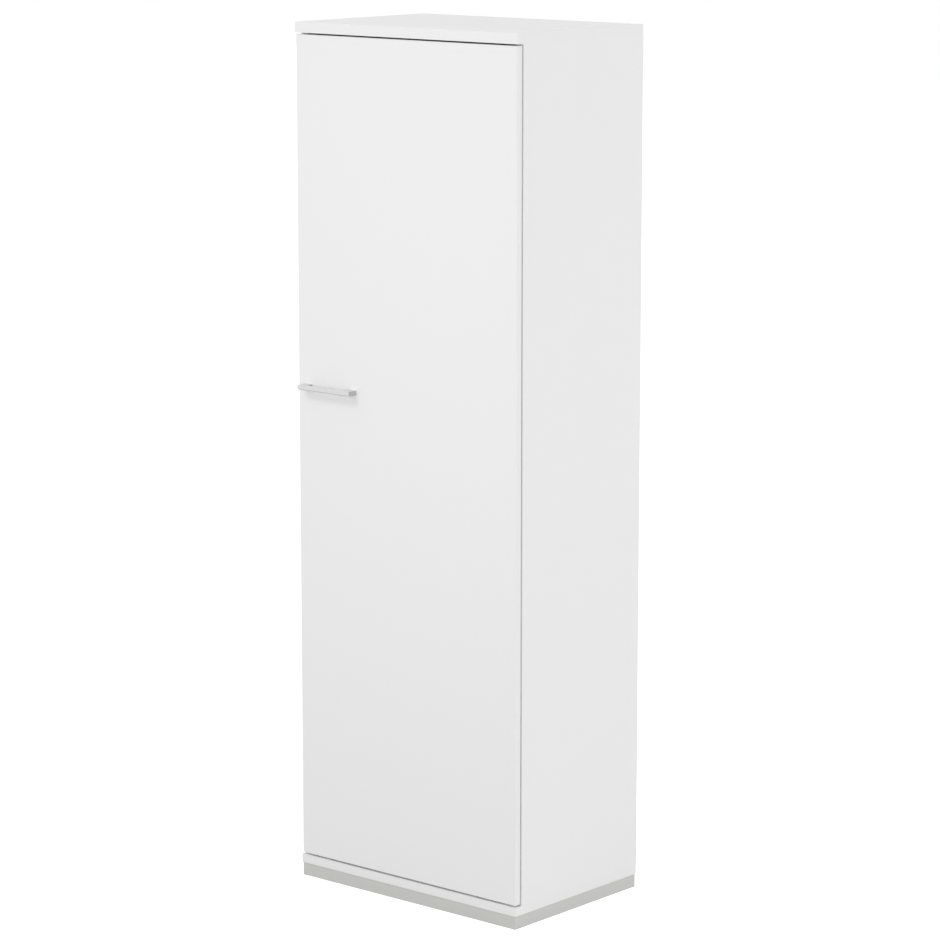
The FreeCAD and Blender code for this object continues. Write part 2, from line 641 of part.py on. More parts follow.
def hinge_cup(height):
    """Pressed cup with a screw flange, and two lugs that hold the pin."""
    floor = DOOR_BACK - CUP_DEPTH
    rim = DOOR_BACK + CUP_FLANGE_THICK
    outside = rod(CUP_RADIUS, (CUP_X, floor, height), (CUP_X, rim, height))
    hollow = rod(CUP_RADIUS - CUP_WALL, (CUP_X, floor + CUP_WALL, height), (CUP_X, rim, height))
    flange = round_plate((CUP_FLANGE_X - CUP_FLANGE_WIDE / 2, CUP_FLANGE_X + CUP_FLANGE_WIDE / 2),
                         (DOOR_BACK, rim), (height - CUP_FLANGE_TALL / 2, height + CUP_FLANGE_TALL / 2),
                         CUP_FLANGE_ROUND, "y")
    shell = united([outside, flange]).cut(hollow)
    lugs = []
    for sign in (-1, 1):
        low = height + sign * (KNUCKLE_TALL / 2 + KNUCKLE_PLAY)
        high = low + sign * LUG_THICK
        foot = box((PIVOT_X - LUG_RADIUS, DOOR_HALF), (floor, PIVOT_Y), (low, high))
        eye = rod(LUG_RADIUS, (PIVOT_X, PIVOT_Y, low), (PIVOT_X, PIVOT_Y, high))
        lugs.append(united([foot, eye]).common(outside))
    pin_hole = pivot_rod(height, PIN_RADIUS + FIT_PLAY, PIN_LENGTH)
    screw_holes = [rod(SCREW_RADIUS + FIT_PLAY, (x, DOOR_BACK, z), (x, rim, z))
                   for x, z in cup_screw_places() if abs(z - height) < CUP_FLANGE_TALL / 2]
    return drilled(united([shell.Solids[0]] + lugs), [pin_hole] + screw_holes)


def hinge_arm(height):
    """Hooked arm: a knuckle on the pin, a hook out of the cup, and a channel on the plate."""
    hook_heights = (height - KNUCKLE_TALL / 2, height + KNUCKLE_TALL / 2)
    front = SIDE_FRONT + ARM_FROM_FRONT
    hook_x = PIVOT_X - HOOK_REACH
    hook_front = PIVOT_Y - HOOK_THICK / 2
    hook_rear = PIVOT_Y + HOOK_THICK / 2
    across = box((hook_x, PIVOT_X), (hook_front, hook_rear), hook_heights)
    along = box((hook_x, hook_x + HOOK_LEG), (hook_front, front + ARM_WALL), hook_heights)
    hook = united([across, along])
    hook = hook.makeFillet(HOOK_OUTER_ROUND, edges_where(hook, x=hook_x, y=hook_front))
    hook = hook.makeFillet(HOOK_INNER_ROUND, edges_where(hook, x=hook_x + HOOK_LEG, y=hook_rear))
    knuckle = pivot_rod(height, KNUCKLE_RADIUS, KNUCKLE_TALL)
    body = box((ARM_X, PLATE_X), (front, front + ARM_LENGTH), (height - ARM_TALL / 2, height + ARM_TALL / 2))
    outer_edges = [edge for z in (-1, 1) for edge in edges_where(body, x=ARM_X, z=height + z * ARM_TALL / 2)]
    body = body.makeFillet(ARM_ROUND, outer_edges)
    inside = box((ARM_X + ARM_WALL, PLATE_X), (front + ARM_WALL, front + ARM_LENGTH),
                 (height - ARM_TALL / 2 + ARM_WALL, height + ARM_TALL / 2 - ARM_WALL))
    channel = body.cut(inside).Solids[0]
    bore = pivot_rod(height, PIN_RADIUS + FIT_PLAY, KNUCKLE_TALL)
    holes = [rod(ARM_SCREW_RADIUS + FIT_PLAY, (ARM_X, place, height), (ARM_X + ARM_WALL, place, height))
             for place in ARM_SCREW_PLACES]
    return drilled(united([channel, hook, knuckle]), [bore] + holes)


def hinge_plate(height):
    """Cross-shaped plate on the side board, under the arm."""
    front = SIDE_FRONT + PLATE_FROM_FRONT
    wing = SIDE_FRONT + PLATE_SCREW_FROM_FRONT
    stem = box((PLATE_X, INNER_X), (front, front + PLATE_LENGTH),
               (height - PLATE_TALL / 2, height + PLATE_TALL / 2))
    wings = round_plate((PLATE_X, INNER_X), (wing - PLATE_WING_WIDE / 2, wing + PLATE_WING_WIDE / 2),
                        (height - PLATE_WING_TALL / 2, height + PLATE_WING_TALL / 2), PLATE_ROUND, "x")
    holes = [rod(SCREW_RADIUS + FIT_PLAY, (PLATE_X, place, z), (INNER_X, place, z))
             for place, z in plate_screw_places() if abs(z - height) < PLATE_WING_TALL / 2]
    holes += [rod(ARM_SCREW_RADIUS + FIT_PLAY, (PLATE_X, place, height), (INNER_X, place, height))
              for place in ARM_SCREW_PLACES]
    return drilled(united([stem, wings]), holes)


def arm_screw(height, place):
    """Screw that holds or adjusts an arm on its plate."""
    return headed_screw((ARM_X, place, height), (1, 0, 0), ARM_SCREW_RADIUS,
                        INNER_X - ARM_X - HOLE_END_PLAY, ARM_SCREW_HEAD_RADIUS, ARM_SCREW_HEAD)


def hinges():
    """The pieces of every hinge, numbered from the bottom."""
    pieces = {}
    for number, height in enumerate(HINGE_HEIGHTS, start=1):
        pieces[f"hinge_cup_{number}"] = hinge_cup(height)
        pieces[f"hinge_pin_{number}"] = pivot_rod(height, PIN_RADIUS, PIN_LENGTH)
        pieces[f"hinge_arm_{number}"] = hinge_arm(height)
        pieces[f"hinge_plate_{number}"] = hinge_plate(height)
    return pieces


def levellers():
    """The screw and glide of every levelling foot, by corner."""
    pieces = {}
    for corner, place in LEVELLER_PLACES.items():
        pieces["leveller_screw_" + corner] = leveller_screw(*place)
        pieces["leveller_glide_" + corner] = leveller_glide(*place)
    return pieces


def groups():
    """Nodes that hold several like pieces."""
    rail_ends = ((RAIL_FRONT, 1), (RAIL_REAR, -1))
    bumper_heights = (DOOR_BOTTOM + BUMPER_FROM_END, DOOR_TOP - BUMPER_FROM_END)
    cup_flange_face = DOOR_BACK + CUP_FLANGE_THICK
    return {
        "cam_locks": [cam_lock(*joint) for joint in cam_joints()],
        "cam_bolts": [cam_bolt(*joint) for joint in cam_joints()],
        "carcass_dowels": [dowel(*joint) for joint in dowel_joints()],
        "plinth_corner_blocks": [corner_block(*place) for place in LEVELLER_PLACES.values()],
        "leveller_hole_caps": [access_cap(*place) for place in LEVELLER_PLACES.values()],
        "shelf_pegs": [shelf_peg(side, place) for side in (-1, 1) for place in PEG_PLACES],
        "rail_end_caps": [rail_end_cap(*end) for end in rail_ends],
        "rail_screws": [rail_screw(*place) for place in bracket_screw_places()],
        "plate_screws": [board_screw((PLATE_X, *place), (1, 0, 0)) for place in plate_screw_places()],
        "arm_screws": [arm_screw(z, place) for z in HINGE_HEIGHTS for place in ARM_SCREW_PLACES],
        "cup_screws": [board_screw((x, cup_flange_face, z), (0, -1, 0)) for x, z in cup_screw_places()],
        "door_bumpers": [door_bumper(height) for height in bumper_heights],
        "handle_screws": [handle_screw(x) for x in HANDLE_SCREW_PLACES],
    }


def wardrobe():
    """Every node of the cabinet by name."""
    nodes = {
        "top_panel": top_panel(),
        "bottom_panel": bottom_panel(),
        "left_side_panel": side_panel(-1),
        "right_side_panel": right_side_panel(),
        "back_panel": back_panel(),
        "hat_shelf": hat_shelf(),
        "clothes_rail": clothes_rail(),
        "rail_front_bracket": rail_bracket(BRACKET_PLACES[0]),
        "rail_rear_bracket": rail_bracket(BRACKET_PLACES[1]),
        "door_panel": door_panel(),
        "handle": handle(),
    }
    nodes.update(plinth_boards())
    nodes.update(hinges())
    nodes.update(levellers())
    nodes.update({name: Part.makeCompound(solids) for name, solids in groups().items()})
    return nodes


os.makedirs("parts", exist_ok=True)
for node_name, shape in wardrobe().items():
    shape.exportStep(f"parts/{node_name}.step")
    print(f"{node_name}: {len(shape.Solids)} solids, {shape.Volume / 1000:.2f} cm3, valid {shape.isValid()}")
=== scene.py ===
# %% [markdown]
# This lesson dresses a tall white coat cabinet. The CAD model already has every board, hinge and screw at
# its real place, so nothing here is moved or resized. We load that model, give each piece the finish of the
# real one, build the small hardware that repeats with Geometry Nodes, and light it like a catalogue picture.

# %% Load the frame
from math import degrees, pi, radians

import bmesh
import bpy
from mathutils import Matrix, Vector


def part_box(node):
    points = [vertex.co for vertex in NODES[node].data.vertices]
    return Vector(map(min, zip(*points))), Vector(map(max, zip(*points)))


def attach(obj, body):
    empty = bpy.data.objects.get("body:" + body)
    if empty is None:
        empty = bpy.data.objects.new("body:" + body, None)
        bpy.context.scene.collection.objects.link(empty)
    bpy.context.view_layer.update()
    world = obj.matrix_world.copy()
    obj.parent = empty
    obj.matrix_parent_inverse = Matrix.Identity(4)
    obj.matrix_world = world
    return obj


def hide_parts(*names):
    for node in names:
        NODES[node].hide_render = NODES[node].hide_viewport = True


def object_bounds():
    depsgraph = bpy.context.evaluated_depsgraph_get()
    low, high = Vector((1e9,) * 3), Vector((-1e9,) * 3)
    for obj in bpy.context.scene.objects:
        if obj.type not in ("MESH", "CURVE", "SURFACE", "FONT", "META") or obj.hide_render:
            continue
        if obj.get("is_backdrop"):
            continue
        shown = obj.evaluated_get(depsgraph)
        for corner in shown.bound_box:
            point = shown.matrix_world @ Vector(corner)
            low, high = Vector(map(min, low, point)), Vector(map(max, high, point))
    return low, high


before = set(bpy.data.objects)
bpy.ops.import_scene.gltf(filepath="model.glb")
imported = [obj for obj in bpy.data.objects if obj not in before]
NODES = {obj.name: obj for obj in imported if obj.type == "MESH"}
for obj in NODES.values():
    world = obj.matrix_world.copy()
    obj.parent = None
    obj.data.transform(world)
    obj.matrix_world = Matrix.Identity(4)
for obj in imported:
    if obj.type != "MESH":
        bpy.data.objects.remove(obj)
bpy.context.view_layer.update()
MM = 0.001

# %% [markdown]
# Every finish and every repeated piece is a node tree, so two short helpers keep the rest readable. `add`
# makes a node and fills its sockets: a socket whose value is another node's output gets a link, and any
# other value is written on the socket itself. `calc` does the same for one sum.

# %% Helpers for node trees


def add(tree, kind, inputs=None, **settings):
    """Adds a node; inputs maps socket names or numbers to values or to the outputs to link."""
    node = tree.nodes.new(kind)
    for name, value in settings.items():
        setattr(node, name, value)
    for socket, value in (inputs or {}).items():
        for item in value if isinstance(value, list) else [value]:
            if isinstance(item, bpy.types.NodeSocket):
                tree.links.new(item, node.inputs[socket])
            else:
                node.inputs[socket].default_value = item
    return node


def calc(tree, operation, *values):
    """A Math node's output."""
    return add(tree, "ShaderNodeMath", dict(enumerate(values)), operation=operation).outputs[0]


print("CAD nodes to dress:", len(NODES))

# %% [markdown]
# A finish starts from the Principled shader and Object coordinates, which stay fixed to the piece when it
# moves. Noise is given its real size in metres, so a grain that is half a millimetre wide on the real thing
# is half a millimetre wide here.

# %% A finish and its grain
EVEN = (1, 1, 1)
FINE_GRAIN = 0.5 * MM


def new_finish(name):
    """A material, its tree, its shader and the coordinates of its piece."""
    material = bpy.data.materials.new(name)
    material.use_nodes = True
    tree = material.node_tree
    shader = next(node for node in tree.nodes if node.type == "BSDF_PRINCIPLED")
    place = add(tree, "ShaderNodeTexCoord").outputs["Object"]
    return material, tree, shader, place


def noise(tree, place, size, stretch=EVEN, detail=2.0):
    """Noise whose blobs are about as wide as the size, drawn out along each axis by the stretch."""
    scale = tuple(1 / (size * part) for part in stretch)
    mapped = add(tree, "ShaderNodeMapping", {"Vector": place, "Scale": scale}).outputs[0]
    return add(tree, "ShaderNodeTexNoise", {"Vector": mapped, "Scale": 1.0, "Detail": detail}).outputs[0]


print("noise scale for a fine grain:", round(1 / FINE_GRAIN))

# %% [markdown]
# No real surface has one flat colour. Its tone wavers, its gloss wavers, and its grain stands out a little.
# A Mix node makes the tone, a Map Range node the gloss and a Bump node the relief. Bump only bends the
# light, so it costs no faces, and for a grain this fine nobody sees that the outline stays smooth.

# %% Mixing tones and gloss


def spread(tree, value, low, high):
    """A 0 to 1 value spread between two numbers."""
    return add(tree, "ShaderNodeMapRange", {"Value": value, "To Min": low, "To Max": high}).outputs[0]


def opaque(colour, share=1.0):
    """A colour for a socket, made darker or brighter by the share."""
    return tuple(part * share for part in colour) + (1.0,)


def blend(tree, share, first, second):
    """A colour between two others, by a share of the second; a Mix node takes colours at 6 and 7."""
    return add(tree, "ShaderNodeMix", {0: share, 6: first, 7: second}, data_type="RGBA").outputs[2]


def waver(tree, grain, colour, low, high):
    """A colour that wavers along a grain between two shares of itself."""
    return blend(tree, grain, opaque(colour, low), opaque(colour, high))


print("half a grey for a socket:", opaque((0.5, 0.5, 0.5), share=0.5))

# %% Coating a shader and dressing pieces


def coat(tree, shader, tone, rough, relief, depth, strength):
    """Links a tone and a roughness to a shader, and presses a relief in, with its depth in metres."""
    bump = add(tree, "ShaderNodeBump", {"Height": relief, "Distance": depth, "Strength": strength})
    tree.links.new(tone, shader.inputs["Base Color"])
    tree.links.new(rough, shader.inputs["Roughness"])
    tree.links.new(bump.outputs[0], shader.inputs["Normal"])


def dress(material, *names):
    """Gives CAD nodes a material."""
    for name in names:
        NODES[name].data.materials.clear()
        NODES[name].data.materials.append(material)
    print(material.name, "on", len(names), "nodes")


print("materials before the first finish:", len(bpy.data.materials))

# %% [markdown]
# The boards are chipboard with a white melamine skin. The skin is hard and matt, with a faint pebbled
# grain that stops it from looking like flat paint. Its cut edges are closed by a plastic strip that is a
# touch smoother, and where strip and skin meet there is a hairline. We could model the strips, but they are
# only a little over a millimetre thick, so comparing Object coordinates with the plane of each seam draws
# them just as well and keeps the boards whole.

# %% Edge strips
STRIP = 1.3 * MM
SEAM_HALF = 0.07 * MM


def strip_masks(tree, place, board, edges):
    """Masks of a board's edge strips and of the hairlines beside them; an edge is an axis and a sign."""
    low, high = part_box(board)
    parts = add(tree, "ShaderNodeSeparateXYZ", {0: place}).outputs
    strips, lines = 0.0, 0.0
    for axis, sign in edges:
        seam = low[axis] + STRIP if sign < 0 else high[axis] - STRIP
        side = calc(tree, "LESS_THAN" if sign < 0 else "GREATER_THAN", parts[axis], seam)
        strips = calc(tree, "MAXIMUM", strips, side)
        lines = calc(tree, "MAXIMUM", lines, calc(tree, "COMPARE", parts[axis], seam, SEAM_HALF))
    return strips, lines


print("edge strip in millimetres:", round(STRIP / MM, 2))

# %% White melamine
WHITE = (0.874, 0.874, 0.873)
STRIP_WHITE = (0.864, 0.864, 0.863)
SEAM_GREY = (0.66, 0.66, 0.65)
CLOUD = 350 * MM
CLOUD_SHARE = 0.99
GLOSS_PATCH = 20 * MM
WHITE_ROUGH = (0.46, 0.54)
PEBBLE = 0.9 * MM
PEBBLE_DEPTH = 0.05 * MM
PEBBLE_STRENGTH = 0.35
STRIP_PEBBLE_SHARE = 0.3


def melamine(board, edges):
    """White board finish: a pebbled skin, smoother edge strips and hairlines between them."""
    material, tree, shader, place = new_finish("melamine_" + board)
    skin = waver(tree, noise(tree, place, CLOUD), WHITE, CLOUD_SHARE, 1.0)
    rough = spread(tree, noise(tree, place, GLOSS_PATCH), *WHITE_ROUGH)
    pebbles = noise(tree, place, PEBBLE)
    if edges:
        strips, lines = strip_masks(tree, place, board, edges)
        skin = blend(tree, strips, skin, opaque(STRIP_WHITE))
        skin = blend(tree, lines, skin, opaque(SEAM_GREY))
        pebbles = calc(tree, "MULTIPLY", pebbles, spread(tree, strips, 1.0, STRIP_PEBBLE_SHARE))
    coat(tree, shader, skin, rough, pebbles, PEBBLE_DEPTH, PEBBLE_STRENGTH)
    return material


print("pebbles in millimetres:", round(PEBBLE / MM, 2))

# %% Dress the boards
LEFT, RIGHT, FRONT, BACK, BOTTOM, TOP = [(axis, sign) for axis in range(3) for sign in (-1, 1)]
BANDED = {
    "door_panel": [LEFT, RIGHT, BOTTOM, TOP],
    "top_panel": [LEFT, RIGHT, FRONT, BACK],
    "bottom_panel": [LEFT, RIGHT, FRONT, BACK],
    "left_side_panel": [FRONT],
    "right_side_panel": [FRONT],
    "hat_shelf": [FRONT],
    "back_panel": [],
}
for board, edges in BANDED.items():
    dress(melamine(board, edges), board)

# %% [markdown]
# Most other finishes are simpler: one grain drives the tone, the gloss and the relief together. So one
# function builds them, and each finish only gives its own numbers. What is the same all over a piece, such
# as how metallic it is, is written straight on the shader's socket.

# %% One grain for everything


def grained(name, colour, tones, rough, size, depth, strength, stretch=EVEN, detail=2.0, fixed=None):
    """A finish that wavers along one grain; fixed maps sockets of its shader to their values."""
    material, tree, shader, place = new_finish(name)
    grain = noise(tree, place, size, stretch, detail)
    tone = waver(tree, grain, colour, *tones)
    coat(tree, shader, tone, spread(tree, grain, *rough), grain, depth, strength)
    for socket, value in (fixed or {}).items():
        shader.inputs[socket].default_value = value
    return material


print("board finishes made so far:", len(BANDED))

# %% [markdown]
# The plinth is covered with silver-grey laminate: a grey with fine metallic grain that runs along the
# board. A little metal in the shader gives it the soft sheen, and the grain is noise stretched along the
# board's length, so the front and the sides each need their own direction.

# %% Silver-grey laminate
PLINTH_GREY = (0.575, 0.577, 0.552)
LAMINATE_RUN = 60


def laminate(name, stretch):
    """Silver-grey laminate with its grain along the stretch."""
    return grained(
        name, PLINTH_GREY, tones=(0.96, 1.04), rough=(0.38, 0.5), size=FINE_GRAIN,
        depth=0.03 * MM, strength=0.3, stretch=stretch, detail=3.0, fixed={"Metallic": 0.12})


dress(laminate("laminate_across", (LAMINATE_RUN, 1, 1)), "plinth_front", "plinth_back")
dress(laminate("laminate_along", (1, LAMINATE_RUN, 1)), "plinth_left", "plinth_right")

# %% [markdown]
# Metals differ mostly in colour, gloss and the marks that making them leaves. The rail is chrome on a drawn
# tube, the hinges are nickel-plated pressings, the pegs are turned steel and the cams are plain zinc
# castings. One function makes them all from a colour, a gloss range and a grain.

# %% Plated metal


def metal(name, colour, rough, size, stretch=EVEN, depth=0.01 * MM):
    """Plated metal whose gloss wavers between two roughnesses along its grain."""
    return grained(
        name, colour, tones=(0.93, 1.0), rough=rough, size=size,
        depth=depth, strength=0.2, stretch=stretch, detail=3.0, fixed={"Metallic": 1.0})


ZINC_GREY = (0.66, 0.67, 0.68)
SCREW_ZINC = metal("screw_zinc", ZINC_GREY, rough=(0.24, 0.36), size=FINE_GRAIN)
print("made", SCREW_ZINC.name, "for the screws")

# %% Rail, hinges, pegs and cams
HINGES = range(1, 5)
CHROME = (0.55, 0.556, 0.56)
NICKEL = (0.70, 0.68, 0.64)
STEEL = (0.62, 0.62, 0.62)
CAST_ZINC = (0.58, 0.58, 0.58)
METAL_GRAIN = 0.4 * MM
DRAWN_GRAIN = 0.8 * MM
DRAWN_RUN = (1, 60, 1)
rail_chrome = metal("rail_chrome", CHROME, rough=(0.08, 0.16), size=DRAWN_GRAIN, stretch=DRAWN_RUN)
dress(rail_chrome, "clothes_rail", "rail_front_bracket", "rail_rear_bracket")
hinge_nickel = metal("hinge_nickel", NICKEL, rough=(0.22, 0.27), size=METAL_GRAIN, depth=0.003 * MM)
dress(hinge_nickel, *[f"hinge_{piece}_{number}" for piece in ("cup", "arm", "plate") for number in HINGES])
pin_steel = metal("pin_steel", STEEL, rough=(0.18, 0.28), size=METAL_GRAIN)
dress(pin_steel, "shelf_pegs", *[f"hinge_pin_{number}" for number in HINGES])
cam_casting = metal("cam_casting", CAST_ZINC, rough=(0.40, 0.55), size=METAL_GRAIN, depth=0.04 * MM)
dress(cam_casting, "cam_locks", "cam_bolts")

# %% [markdown]
# The handle is a satin-plated bow. A belt brushes its front lengthwise, and a painted highlight makes its
# narrow top a little brighter. Painted shade darkens its ends, its underside and the inner sides of its
# legs, where the grain runs across, and the rounding below the front has the darkest painted shade. We could
# cut the bow into one mesh for each tone, but Object coordinates tell these faces apart in one material:
# the ends lie farthest from the middle, and the inner sides one leg's width further in.

# %% Faces of the handle
LEG_WIDTH = 20.0 * MM
BAR_THICK = 6.0 * MM
END_SLACK = 0.5 * MM
LEG_SLACK = 0.6 * MM
TOP_SLACK = 0.8 * MM
LOWER_RIM = 1.2 * MM
HANDLE_LOW, HANDLE_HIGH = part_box("handle")


def face_masks(tree, place):
    """Masks of the handle's painted shade, of its darker painted shade on the lower front rim and of its
    painted highlight on the top.
    """
    middle = (HANDLE_LOW.x + HANDLE_HIGH.x) / 2
    half = (HANDLE_HIGH.x - HANDLE_LOW.x) / 2
    x, y, z = add(tree, "ShaderNodeSeparateXYZ", {0: place}).outputs
    along = calc(tree, "ABSOLUTE", calc(tree, "SUBTRACT", x, middle))
    ends = calc(tree, "GREATER_THAN", along, half - END_SLACK)
    inner = calc(tree, "COMPARE", along, half - LEG_WIDTH, LEG_SLACK)
    behind = calc(tree, "GREATER_THAN", y, HANDLE_LOW.y + BAR_THICK)
    lower = calc(tree, "LESS_THAN", z, HANDLE_LOW.z + LOWER_RIM)
    # Painted shade falls on the ends, the inner leg sides behind the bar and the underside, the darkest on
    # the lower front rim; the top gets a painted highlight.
    shaded_faces = calc(tree, "MAXIMUM", ends, calc(tree, "MULTIPLY", inner, behind))
    shaded_faces = calc(tree, "MAXIMUM", shaded_faces, lower)
    rim = calc(tree, "MULTIPLY", lower, calc(tree, "LESS_THAN", y, HANDLE_LOW.y + LOWER_RIM))
    rim = calc(tree, "MULTIPLY", rim, calc(tree, "SUBTRACT", 1.0, ends))
    painted_highlight = calc(tree, "GREATER_THAN", z, HANDLE_HIGH.z - TOP_SLACK)
    return shaded_faces, rim, painted_highlight


print("handle length in millimetres:", round((HANDLE_HIGH.x - HANDLE_LOW.x) / MM, 1))

# %% Satin handle
SATIN_SILVER = (0.628, 0.628, 0.626)
SATIN_ROUGH = (0.42, 0.5)
BRUSH_GRAIN = 0.25 * MM
BRUSH_RUN = 80
BRUSH_DETAIL = 3.0
BRUSH_DEPTH = 0.01 * MM
BRUSH_STRENGTH = 0.2
GRAIN_SHARE = 0.9
# The next three shares paint shade on the ends, underside and inner leg sides, darker painted shade on the
# lower front rim, and a painted highlight on the top.
PAINTED_SHADE_SHARE = 0.88
RIM_SHADE_SHARE = 0.55
PAINTED_HIGHLIGHT_SHARE = 1.2


def satin_handle():
    """Satin plating over lengthwise brushing, with painted shade on the ends, underside and inner leg sides,
    darkest on the lower rim, and a painted highlight on the top.
    """
    material, tree, shader, place = new_finish("satin_silver")
    shader.inputs["Metallic"].default_value = 1.0
    lengthwise = noise(tree, place, BRUSH_GRAIN, (BRUSH_RUN, 1, 1), BRUSH_DETAIL)
    across = noise(tree, place, BRUSH_GRAIN, (1, 1, BRUSH_RUN), BRUSH_DETAIL)
    shaded_faces, rim, painted_highlight = face_masks(tree, place)
    tone = waver(tree, lengthwise, SATIN_SILVER, GRAIN_SHARE, 1.0)
    # Painted shade and a painted highlight are blended over the brushed tone, each by its mask.
    for mask, grain, share in (
        (shaded_faces, across, PAINTED_SHADE_SHARE),
        (rim, lengthwise, RIM_SHADE_SHARE),
        (painted_highlight, lengthwise, PAINTED_HIGHLIGHT_SHARE),
    ):
        tone = blend(tree, mask, tone, waver(tree, grain, SATIN_SILVER, GRAIN_SHARE * share, share))
    rough = spread(tree, lengthwise, *SATIN_ROUGH)
    coat(tree, shader, tone, rough, lengthwise, BRUSH_DEPTH, BRUSH_STRENGTH)
    return material


dress(satin_handle(), "handle")

# %% [markdown]
# Behind the plinth are raw wood blocks with moulded plastic feet, and beech dowels line up the boards. The
# wood gets growth lines from noise that is drawn out along the grain, and the plastics get the faint
# texture of their mould.

# %% Raw wood
BEECH = (0.66, 0.47, 0.29)
SOFTWOOD = (0.62, 0.48, 0.32)
GROWTH_LINE = 1.2 * MM
WOOD_RUN = 20


def raw_wood(name, colour, stretch):
    """Unfinished wood with fine growth lines along the stretch."""
    return grained(
        name, colour, tones=(0.72, 1.0), rough=(0.7, 0.82), size=GROWTH_LINE,
        depth=0.08 * MM, strength=0.4, stretch=stretch, detail=4.0)


dress(raw_wood("beech", BEECH, (1, 1, WOOD_RUN)), "carcass_dowels")
dress(raw_wood("block_wood", SOFTWOOD, (WOOD_RUN, 1, 1)), "plinth_corner_blocks")

# %% Moulded plastic
CORNERS = ("front_left", "front_right", "back_left", "back_right")
CAP_WHITE = (0.84, 0.84, 0.83)
FOOT_BLACK = (0.10, 0.10, 0.105)
RUBBER_GREY = (0.80, 0.81, 0.80)
MOULD_WAVER = 0.05
SOLID_IOR = 1.5
CLEAR_IOR = 1.42


def moulded(name, colour, rough, clear=0.0):
    """Moulded plastic with a fine texture; the clear share lets light through."""
    fixed = {"Transmission Weight": clear, "IOR": CLEAR_IOR if clear else SOLID_IOR}
    return grained(
        name, colour, tones=(0.94, 1.0), rough=(rough - MOULD_WAVER, rough + MOULD_WAVER), size=FINE_GRAIN,
        depth=0.03 * MM, strength=0.3, fixed=fixed)


dress(moulded("cap_white", CAP_WHITE, rough=0.42), "leveller_hole_caps")
foot_plastic = moulded("foot_plastic", FOOT_BLACK, rough=0.5)
dress(foot_plastic, "rail_end_caps", *["leveller_glide_" + corner for corner in CORNERS])
dress(moulded("bumper_rubber", RUBBER_GREY, rough=0.36, clear=0.6), "door_bumpers")

# %% [markdown]
# The CAD screws are plain studs, and real ones have a domed head with a cross recess and a thread. All of
# them follow one rule with other sizes, so one Geometry Nodes tree can make them. First we need their
# places: the solids of a CAD node are found by walking along the edges of a merged copy of its mesh. The
# walk starts anywhere, so they are then sorted by place, and every run draws the same turn for each screw.

# %% Where the screws are
WELD = 0.01 * MM


def solids_of(name):
    """Lowest and highest corner of each separate solid of a CAD node, sorted by place."""
    copy = bmesh.new()
    copy.from_mesh(NODES[name].data)
    bmesh.ops.remove_doubles(copy, verts=copy.verts, dist=WELD)
    waiting = set(copy.verts)
    corners = []
    while waiting:
        front = [waiting.pop()]
        points = []
        while front:
            corner = front.pop()
            points.append(corner.co.copy())
            near = {edge.other_vert(corner) for edge in corner.link_edges} & waiting
            waiting -= near
            front.extend(near)
        low, high = ([pick(point[i] for point in points) for i in range(3)] for pick in (min, max))
        corners.append((Vector(low), Vector(high)))
    copy.free()
    return sorted(corners, key=lambda pair: [round(value / MM, 1) for value in pair[0]])


for name in sorted(NODES):
    if name.endswith("_screws"):
        print(name, len(solids_of(name)))

# %% [markdown]
# Now the tree. Modelling each screw by hand would give the same picture, but a tree with named sizes fits
# every screw here and the next job's too. Its inputs are points, sizes, a seed for the turns and a finish,
# and a few helpers make, move and cut the shapes in it.

# %% A tree with named sizes
GEOMETRY = "NodeSocketGeometry"
NUMBER = "NodeSocketFloat"
SHARED_INPUTS = [("Turn Seed", "NodeSocketInt"), ("Finish", "NodeSocketMaterial")]


def new_tree(name, numbers):
    """A Geometry Nodes tree with points, named sizes, a seed and a finish; returns it and its inputs."""
    tree = bpy.data.node_groups.new(name, "GeometryNodeTree")
    sockets = [("Geometry", GEOMETRY)] + [(number, NUMBER) for number in numbers] + SHARED_INPUTS
    for label, kind in sockets:
        tree.interface.new_socket(label, in_out="INPUT", socket_type=kind)
    tree.interface.new_socket("Geometry", in_out="OUTPUT", socket_type=GEOMETRY)
    print(name, "has", len(sockets), "inputs")
    return tree, tree.nodes.new("NodeGroupInput").outputs


print("inputs that every tree shares:", [label for label, kind in SHARED_INPUTS])

# %% Shapes in a tree
ROUND_SIDES = 40


def moved(tree, shape, height):
    """A shape moved along Z."""
    offset = add(tree, "ShaderNodeCombineXYZ", {"Z": height}).outputs[0]
    return add(tree, "GeometryNodeTransform", {"Geometry": shape, "Translation": offset}).outputs[0]


def cylinder(tree, radius, depth, sides=ROUND_SIDES):
    """An upright cylinder about the origin."""
    sizes = {"Vertices": sides, "Radius": radius, "Depth": depth}
    return add(tree, "GeometryNodeMeshCylinder", sizes).outputs["Mesh"]


def cut(tree, operation, first, *others):
    """The first shape less the others, or what they all share."""
    inputs = {"Mesh 1": first, "Mesh 2": list(others)}
    if operation != "DIFFERENCE":
        inputs = {"Mesh 2": [first, *others]}
    node = add(tree, "GeometryNodeMeshBoolean", inputs, operation=operation, solver="EXACT")
    return node.outputs["Mesh"]


print("shape helpers:", ", ".join(helper.__name__ for helper in (moved, cylinder, cut)))

# %% [markdown]
# A screw's thread is rolled into its wire, so a ridge stands out from a thinner core. A bump could draw it,
# but the ridges have to show at the outline too. So a spiral curve carries a small four-sided profile round
# a cylinder, and both sizes are shares of the shank's radius.

# %% Threaded shank
CORE_SHARE = 0.76
CORE_SIDES = 20
RIDGE_SHARE = 0.2
RIDGE_SIDES = 4
STEPS_IN_TURN = 14


